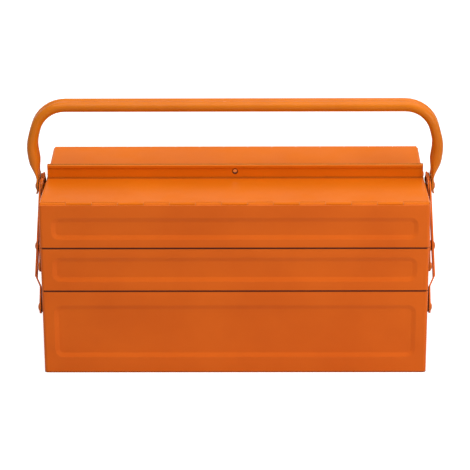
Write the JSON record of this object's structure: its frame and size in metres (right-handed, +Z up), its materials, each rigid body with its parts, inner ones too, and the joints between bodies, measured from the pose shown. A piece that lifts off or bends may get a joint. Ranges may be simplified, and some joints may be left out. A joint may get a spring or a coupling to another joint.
{
  "type": "cantilever tool box",
  "caption": "Sheet steel tool box with two tiers of trays that spread on parallel links, two hinged lids and two swinging tube handles.",
  "frame": {"origin": "middle of the closed box's base, on the surface that it stands on", "axes": "+X along the box to the right as seen from the front, +Y from the front to the rear, +Z up"},
  "size_m": [0.47, 0.2, 0.29],
  "materials": {
    "orange_enamel": "glossy orange enamel on sheet steel",
    "link_enamel": "glossy orange enamel on steel levers, worn at the pivots",
    "tube_enamel": "glossy orange enamel on bent steel tube",
    "rivet_steel": "orange enamel over steel rivets, worn bright on the heads",
    "pin_steel": "plain steel wire"
  },
  "bodies": {
    "box": {"bottom_box": "orange_enamel", "box_rivets": "rivet_steel", "box_washers": "rivet_steel"},
    "levers_front": {"lever_front_left": "link_enamel", "lever_front_right": "link_enamel"},
    "mid_front": {"mid_tray_front": "orange_enamel", "mid_rivets_front": "rivet_steel", "mid_spacers_front": "rivet_steel"},
    "top_front": {"top_tray_front": "orange_enamel", "top_rivets_front": "rivet_steel", "ear_front_left": "link_enamel", "ear_front_right": "link_enamel", "ear_rivets_front": "rivet_steel", "hinge_pin_front": "pin_steel"},
    "lower_links_front": {"lower_link_front_left": "link_enamel", "lower_link_front_right": "link_enamel"},
    "upper_links_front": {"upper_link_front_left": "link_enamel", "upper_link_front_right": "link_enamel"},
    "lid_body_front": {"lid_front": "orange_enamel"},
    "handle_body_front": {"handle_front": "tube_enamel"},
    "levers_rear": {"lever_rear_left": "link_enamel", "lever_rear_right": "link_enamel"},
    "mid_rear": {"mid_tray_rear": "orange_enamel", "mid_rivets_rear": "rivet_steel", "mid_spacers_rear": "rivet_steel"},
    "top_rear": {"top_tray_rear": "orange_enamel", "top_rivets_rear": "rivet_steel", "ear_rear_left": "link_enamel", "ear_rear_right": "link_enamel", "ear_rivets_rear": "rivet_steel", "hinge_pin_rear": "pin_steel"},
    "lower_links_rear": {"lower_link_rear_left": "link_enamel", "lower_link_rear_right": "link_enamel"},
    "upper_links_rear": {"upper_link_rear_left": "link_enamel", "upper_link_rear_right": "link_enamel"},
    "lid_body_rear": {"lid_rear": "orange_enamel"},
    "handle_body_rear": {"handle_rear": "tube_enamel"}
  },
  "joints": [
    {"name": "spread_front", "type": "hinge", "parent": "box", "child": "levers_front", "pos_m": [0, -0.087, 0.075], "axis": [1, 0, 0], "range_deg": [0, 66]},
    {"name": "mid_pivot_front", "type": "hinge", "parent": "levers_front", "child": "mid_front", "pos_m": [0, -0.049, 0.1335], "axis": [1, 0, 0], "range_deg": [-66, 0]},
    {"name": "top_pivot_front", "type": "hinge", "parent": "levers_front", "child": "top_front", "pos_m": [0, -0.011, 0.192], "axis": [1, 0, 0], "range_deg": [-66, 0]},
    {"name": "lower_link_pivot_front", "type": "hinge", "parent": "box", "child": "lower_links_front", "pos_m": [0, -0.051, 0.0765], "axis": [1, 0, 0], "range_deg": [0, 66]},
    {"name": "upper_link_pivot_front", "type": "hinge", "parent": "mid_front", "child": "upper_links_front", "pos_m": [0, -0.09, 0.125], "axis": [1, 0, 0], "range_deg": [0, 66]},
    {"name": "lid_hinge_front", "type": "hinge", "parent": "top_front", "child": "lid_body_front", "pos_m": [0, -0.0964, 0.2005], "axis": [1, 0, 0], "range_deg": [0, 105]},
    {"name": "handle_pivot_front", "type": "hinge", "parent": "top_front", "child": "handle_body_front", "pos_m": [0, -0.011, 0.192], "axis": [1, 0, 0], "range_deg": [0, 68]},
    {"name": "spread_rear", "type": "hinge", "parent": "box", "child": "levers_rear", "pos_m": [0, 0.087, 0.075], "axis": [-1, 0, 0], "range_deg": [0, 66]},
    {"name": "mid_pivot_rear", "type": "hinge", "parent": "levers_rear", "child": "mid_rear", "pos_m": [0, 0.049, 0.1335], "axis": [-1, 0, 0], "range_deg": [-66, 0]},
    {"name": "top_pivot_rear", "type": "hinge", "parent": "levers_rear", "child": "top_rear", "pos_m": [0, 0.011, 0.192], "axis": [-1, 0, 0], "range_deg": [-66, 0]},
    {"name": "lower_link_pivot_rear", "type": "hinge", "parent": "box", "child": "lower_links_rear", "pos_m": [0, 0.051, 0.0765], "axis": [-1, 0, 0], "range_deg": [0, 66]},
    {"name": "upper_link_pivot_rear", "type": "hinge", "parent": "mid_rear", "child": "upper_links_rear", "pos_m": [0, 0.09, 0.125], "axis": [-1, 0, 0], "range_deg": [0, 66]},
    {"name": "lid_hinge_rear", "type": "hinge", "parent": "top_rear", "child": "lid_body_rear", "pos_m": [0, 0.0964, 0.2005], "axis": [-1, 0, 0], "range_deg": [0, 105]},
    {"name": "handle_pivot_rear", "type": "hinge", "parent": "top_rear", "child": "handle_body_rear", "pos_m": [0, 0.011, 0.192], "axis": [-1, 0, 0], "range_deg": [0, 68]}
  ],
  "couplings": [
    {"joint": "mid_pivot_front", "follows": "spread_front", "ratio": -1},
    {"joint": "top_pivot_front", "follows": "spread_front", "ratio": -1},
    {"joint": "lower_link_pivot_front", "follows": "spread_front", "ratio": 1},
    {"joint": "upper_link_pivot_front", "follows": "spread_front", "ratio": 1},
    {"joint": "mid_pivot_rear", "follows": "spread_rear", "ratio": -1},
    {"joint": "top_pivot_rear", "follows": "spread_rear", "ratio": -1},
    {"joint": "lower_link_pivot_rear", "follows": "spread_rear", "ratio": 1},
    {"joint": "upper_link_pivot_rear", "follows": "spread_rear", "ratio": 1}
  ]
}
